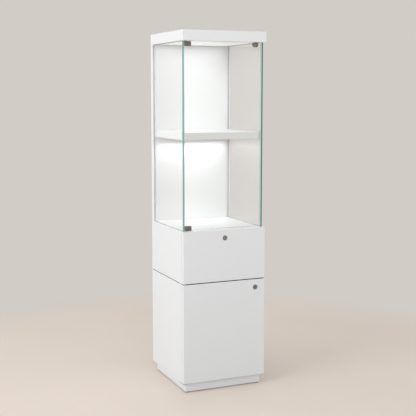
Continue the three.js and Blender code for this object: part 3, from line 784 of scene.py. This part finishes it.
def makeGlassLockPlug(look):
    low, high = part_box("glass_lock_plug")
    centre = Vector(((low.x + high.x) / 2, low.y, (low.z + high.z) / 2))
    slot = slotted(*look["keySlot"])
    radius, edge = look["plugRadius"], look["plugEdge"]
    bm = bmesh.new()
    addTurned(bm, centre, (0, 1, 0), [
        (slot, look["keyDepth"]), (slot, 0), (radius - edge, 0), (radius, edge),
        (radius, look["plugLength"] + look["proud"]),
    ])
    pieceFrom(bm, "glassLockPlug", "glass_lock_plug", [plugNickel], replaced=["glass_lock_plug"])


# the bolt passes through a slotted plate under the canopy; the plate is rounded last, because points that
# are added after a bevel come in an order that differs from run to run
def makeGlassLockStrike(look):
    low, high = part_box("glass_lock_bolt")
    centre = (low + high) / 2
    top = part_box("canopy")[0].z
    under = top - look["strike"]
    play = 2 * look["strikeSlotPlay"]
    plate, hole = look["strikeSize"], (high.x - low.x + play, high.y - low.y + play)
    bm = bmesh.new()
    for side in (-1, 1):
        x = centre.x + side * look["strikeScrewPlace"] * plate[0]
        addScrew(bm, (x, centre.y, under), (0, 0, -1), look["strikeScrew"])
    screwEdges = set(bm.edges)
    rims = []
    for (length, width), z in ((hole, under), (plate, under), (plate, top), (hole, top)):
        corners = bmesh.ops.create_circle(
            bm, segments=4, radius=math.sqrt(0.5), matrix=Matrix.Rotation(math.pi / 4, 4, "Z"),
        )["verts"]
        bmesh.ops.scale(bm, vec=(length, width, 1), verts=corners)
        bmesh.ops.translate(bm, vec=(centre.x, centre.y, z), verts=corners)
        rims.append(edgesOf(corners))
    for first, second in zip(rims, rims[1:] + rims[:1]):
        bmesh.ops.bridge_loops(bm, edges=first + second)
    bmesh.ops.recalc_face_normals(bm, faces=bm.faces)
    plateEdges = [edge for edge in bm.edges if edge not in screwEdges]
    roundEdges(bm, look["strikeEdge"], 2, plateEdges)
    pieceFrom(bm, "glassLockStrike", "canopy", [finishes["satin_nickel"]])


makeGlassLockPlug(glassLock)
makeGlassLockStrike(glassLock)
print("glass lock made")


screws = {
    "rear": 3.4 * mm,  # radius of the head
    "rearInset": 9 * mm,
    "rearPitch": 165 * mm,
    "clamp": 2.9 * mm,
    "clampSpread": 8.5 * mm,  # to each side of the clamp's middle
    "clampInset": 12 * mm,  # from the glass door's end
    "lockSpread": 7 * mm,
    "lockDrop": 9 * mm,
    "small": 2.6 * mm,
    "strikeInset": (2 * mm, 8 * mm),
    "strikeSpread": 6 * mm,
    "pivotInsets": (7 * mm, 23 * mm),
    "runnerSteel": 1.4 * mm,
    "runnerShares": (0.12, 0.5, 0.9),  # places along a runner's member
}


# evenly spaced places along the edges of a panel's rear face
def rearEdgePlaces(node, inset, pitch):
    low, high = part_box(node)
    x0, x1, z0, z1 = low.x + inset, high.x - inset, low.z + inset, high.z - inset
    places = []
    rows = max(2, round((z1 - z0) / pitch) + 1)
    for row in range(rows):
        z = z0 + (z1 - z0) * row / (rows - 1)
        places += [(x0, high.y, z), (x1, high.y, z)]
    for z in (z0, z1):
        places.append(((x0 + x1) / 2, high.y, z))
    return places


# a pair of hexagon socket screws in the rear face of a clamp
def clampScrews(name, node, spread, z):
    low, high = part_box(node)
    places = [((low.x + high.x) / 2 + side * spread, high.y, z) for side in (-1, 1)]
    screwSet(name, node, "satin_nickel", places, (0, 1, 0), screws["clamp"], "hex")


# a runner's outer and inner members are screwed through their webs, with the heads inside the runner
def runnerScrews(side, sign):
    for member, facing in (("fixed", -sign), ("drawer", sign)):
        node = "runner_" + side + "_" + member
        low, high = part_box(node)
        x = (low.x if facing > 0 else high.x) + facing * screws["runnerSteel"]
        z = (low.z + high.z) / 2
        places = [(x, low.y + (high.y - low.y) * share, z) for share in screws["runnerShares"]]
        screwSet(camel(node) + "Screws", node, "zinc_steel", places, (facing, 0, 0), screws["small"])


for node in ("cabinet_back", "case_back", "back_panel"):
    places = rearEdgePlaces(node, screws["rearInset"], screws["rearPitch"])
    screwSet(camel(node) + "Screws", node, "zinc_steel", places, (0, 1, 0), screws["rear"])

paneLow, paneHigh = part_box("glass_door")
clampScrews(
    "glassHingeLowerScrews", "glass_hinge_lower", screws["clampSpread"], paneLow.z + screws["clampInset"],
)
clampScrews(
    "glassHingeUpperScrews", "glass_hinge_upper", screws["clampSpread"], paneHigh.z - screws["clampInset"],
)
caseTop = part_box("glass_lock_case")[1].z
clampScrews("glassLockScrews", "glass_lock_case", screws["lockSpread"], caseTop - screws["lockDrop"])

low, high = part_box("door_lock_strike")
insetX, insetY = screws["strikeInset"]
places = [
    (high.x - insetX, high.y - insetY, (low.z + high.z) / 2 + side * screws["strikeSpread"])
    for side in (-1, 1)
]
screwSet("doorLockStrikeScrews", "door_lock_strike", "zinc_steel", places, (-1, 0, 0), screws["small"])

low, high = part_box("door_pivot_lower")
places = [((low.x + high.x) / 2, high.y - inset, low.z) for inset in screws["pivotInsets"]]
screwSet("doorPivotScrews", "door_pivot_lower", "zinc_steel", places, (0, 0, -1), screws["small"])

for side, sign in (("left", -1), ("right", 1)):
    runnerScrews(side, sign)
print("screws made")


def addBlock(bm, low, high):
    for vert in bmesh.ops.create_cube(bm, size=1)["verts"]:
        vert.co = [(a + b) / 2 + share * (b - a) for a, b, share in zip(low, high, vert.co)]


seals = {
    "width": 1.0 * mm,
    "height": 0.8 * mm,
    "edge": 0.25 * mm,
    "frontInset": 1 * mm,
    "rearInset": 0.2 * mm,
}


# glazing seals on both sides of each side glass, where it enters the deck and the canopy
def glazingSeal(side, look):
    low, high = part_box("side_glass_" + side)
    deckTop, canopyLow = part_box("deck")[1].z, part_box("canopy")[0].z
    front, rear = low.y + look["frontInset"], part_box("back_panel")[0].y - look["rearInset"]
    bm = bmesh.new()
    for z0, z1 in ((deckTop, deckTop + look["height"]), (canopyLow - look["height"], canopyLow)):
        for x0, x1 in ((low.x - look["width"], low.x), (high.x, high.x + look["width"])):
            addBlock(bm, (x0, front, z0), (x1, rear, z1))
    roundEdges(bm, look["edge"], 2)
    pieceFrom(bm, "glazingSeal" + side.capitalize(), "side_glass_" + side, [sealGrey])


for side in ("left", "right"):
    glazingSeal(side, seals)


bumpers = {
    "radius": 4 * mm,
    "height": 2.2 * mm,
    "inset": 9 * mm,
    "rings": [(1, 0), (1, 0.4), (0.8, 0.85), (0.4, 1)],  # shares of the radius and the height
    "segments": 24,
    "lifts": {"cabinet_door": (0.06, 0.94), "drawer_front": (0.1, 0.8)},  # shares of a front's height
}


# soft bumpers on the back of a front, at its ends or, on the door, at its opening side
def makeBumpers(node, look):
    low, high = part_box(node)
    columns = [high.x - look["inset"]]
    if node == "drawer_front":
        columns.insert(0, low.x + look["inset"])
    rings = [(share * look["radius"], rise * look["height"]) for share, rise in look["rings"]]
    bm = bmesh.new()
    for x in columns:
        for lift in look["lifts"][node]:
            place = (x, high.y, low.z + (high.z - low.z) * lift)
            addTurned(bm, place, (0, 1, 0), rings, look["segments"])
    pieceFrom(bm, camel(node) + "Bumpers", node, [bumperClear])


for node in bumpers["lifts"]:
    makeBumpers(node, bumpers)
print("seals and bumpers made")


caseLights = {
    "diffuserEdge": 0.3 * mm,
    "troughWall": 1.1 * mm,
    "troughCap": 2.5 * mm,
    "troughEdge": 0.2 * mm,
    "lens": (0.6 * mm, 2.2 * mm),  # above the trough's lower rim
    "lensEdge": 0.3 * mm,
}


def makeDiffuser(look):
    bm = roundEdges(solidOf("canopy_diffuser"), look["diffuserEdge"])
    pieceFrom(bm, "canopyDiffuserPanel", "canopy_diffuser", [diffuserOpal], replaced=["canopy_diffuser"])


# an aluminium trough with a lens in it and a cap at each end
def makeShelfLight(look):
    low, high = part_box("shelf_light")
    wall, cap = look["troughWall"], look["troughCap"]
    left, right, roof = low.x + cap, high.x - cap, high.z - wall
    bm = bmesh.new()
    addBlock(bm, (left, low.y, roof), (right, high.y, high.z))
    for y0, y1 in ((low.y, low.y + wall), (high.y - wall, high.y)):
        addBlock(bm, (left, y0, low.z), (right, y1, roof))
    for x0, x1 in ((low.x, left), (right, high.x)):
        addBlock(bm, (x0, low.y, low.z), (x1, high.y, high.z))
    roundEdges(bm, look["troughEdge"], 2)
    aluminium = "anodised_aluminium"
    pieceFrom(bm, "shelfLightTrough", "shelf_light", [finishes[aluminium]])
    lensLow, lensHigh = [low.z + rise for rise in look["lens"]]
    bm = bmesh.new()
    addBlock(bm, (left, low.y + wall, lensLow), (right, high.y - wall, lensHigh))
    roundEdges(bm, look["lensEdge"], 2)
    pieceFrom(bm, "shelfLightLens", "shelf_light", [shelfOpal], replaced=["shelf_light"])


makeDiffuser(caseLights)
makeShelfLight(caseLights)
print("case lights made")


studio = {
    "floorSeen": ((0.86, 0.755, 0.67), (0.80, 0.70, 0.62)),
    "floorBounce": (0.6, 0.6, 0.6),  # what the object gets back from it
    "farBounce": (0.79, 0.79, 0.79),  # and from the backdrop that it fades into
    "backdrop": (0.645, 0.604, 0.565),
    "floorReach": (1.35, 2.1),  # metres from the case over which the floor fades into the backdrop
    "floorRadius": 40.0,
    "floorSegments": 96,
    "floorCloud": 0.5,
    "floorRoughness": 0.4,
    "floorRoughnessRange": 0.1,
    "ambient": 0.64,
}
lamps = {
    "keyLamp": {
        "place": (-6.3, -1.5, 3.3), "aim": (0, 0, 1.1), "size": (5.0, 2.4), "power": 203, "spread": 180,
        "colour": (0.965, 0.985, 1.0),
    },
    "frontLamp": {
        "place": (-1.4, -5.0, 2.8), "aim": (0, 0, 1.1), "size": (2.4, 2.4), "power": 32, "spread": 180,
        "colour": (1.0, 1.0, 1.0),
    },
    "topLamp": {
        "place": (0, 0, 4.6), "aim": (0, 0.001, 1.1), "size": (4.0, 4.0), "power": 12, "spread": 180,
        "colour": (1.0, 1.0, 1.0),
    },
    "canopyLamp": {
        "place": (0, 0, 1.7474), "aim": (0, 0.001, 0), "size": (0.36, 0.36), "power": 0.53, "spread": 150,
        "colour": (0.91, 0.95, 1.0),
    },
    "shelfLamp": {
        "place": (0, 0.152, 1.2696), "aim": (0, 0.153, 0), "size": (0.37, 0.014), "power": 0.46,
        "spread": 118, "colour": (0.92, 0.96, 1.0),
    },
}


# camera, glossy and transmission rays see the floor and backdrop in their own colours, and the light that
# they throw on the object stays neutral
def seenStraight(finish):
    camera, glossy, through = [
        finish.node("ShaderNodeLightPath", {}, {}, ray)
        for ray in ("Is Camera Ray", "Is Glossy Ray", "Is Transmission Ray")
    ]
    return camera.math("MAXIMUM", glossy).math("MAXIMUM", through)


def makeFloor(setup):
    bm = bmesh.new()
    bmesh.ops.create_circle(
        bm, cap_ends=True, segments=setup["floorSegments"], radius=setup["floorRadius"],
    )
    mesh = bpy.data.meshes.new("floor")
    bm.to_mesh(mesh)
    bm.free()
    floor = bpy.data.objects.new("floor", mesh)
    bpy.context.scene.collection.objects.link(floor)
    floor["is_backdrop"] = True
    finish = Finish("paleFloor")
    where = finish.place()
    away = finish.node("ShaderNodeVectorMath", {"operation": "LENGTH"}, {0: where}, "Value")
    near, far = setup["floorReach"]
    share = finish.node("ShaderNodeMapRange", {"interpolation_type": "SMOOTHSTEP"}, {
        "Value": away, "From Min": near, "From Max": far,
    })
    cloud = finish.noise(where, setup["floorCloud"], 4)
    seen = seenStraight(finish)
    floorColour = finish.colours(cloud, *setup["floorSeen"])
    ground = finish.node("ShaderNodeBsdfPrincipled", {}, {
        "Base Color": finish.colours(seen, setup["floorBounce"], floorColour),
        "Roughness": around(cloud, setup["floorRoughness"], setup["floorRoughnessRange"]),
    })
    backdrop = finish.node("ShaderNodeEmission", {}, {
        "Color": finish.colours(seen, setup["farBounce"], setup["backdrop"]),
    })
    faded = finish.node("ShaderNodeMixShader", {}, {0: share, 1: ground, 2: backdrop})
    mesh.materials.append(finish.end(faded))


def makeWorld(setup):
    world = bpy.data.worlds.new("studio")
    bpy.context.scene.world = world
    finish = Finish("studio", world)
    white, tone = (1, 1, 1, 1), (*setup["backdrop"], 1)
    room = finish.node("ShaderNodeBackground", {}, {"Color": white, "Strength": setup["ambient"]})
    wall = finish.node("ShaderNodeBackground", {}, {"Color": tone})
    finish.end(finish.node("ShaderNodeMixShader", {}, {0: seenStraight(finish), 1: room, 2: wall}))


def makeLamp(name, setup):
    data = bpy.data.lights.new(name, "AREA")
    data.shape = "RECTANGLE"
    data.size, data.size_y = setup["size"]
    data.energy = setup["power"]
    data.color = setup["colour"]
    data.spread = math.radians(setup["spread"])
    lamp = bpy.data.objects.new(name, data)
    bpy.context.scene.collection.objects.link(lamp)
    lamp.location = setup["place"]
    towards = Vector(setup["aim"]) - lamp.location
    lamp.rotation_mode = "QUATERNION"
    lamp.rotation_quaternion = towards.to_track_quat("-Z", "Y")


makeFloor(studio)
makeWorld(studio)
for name, setup in lamps.items():
    makeLamp(name, setup)
bpy.context.scene.view_settings.view_transform = "Standard"
print("studio made")

low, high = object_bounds()
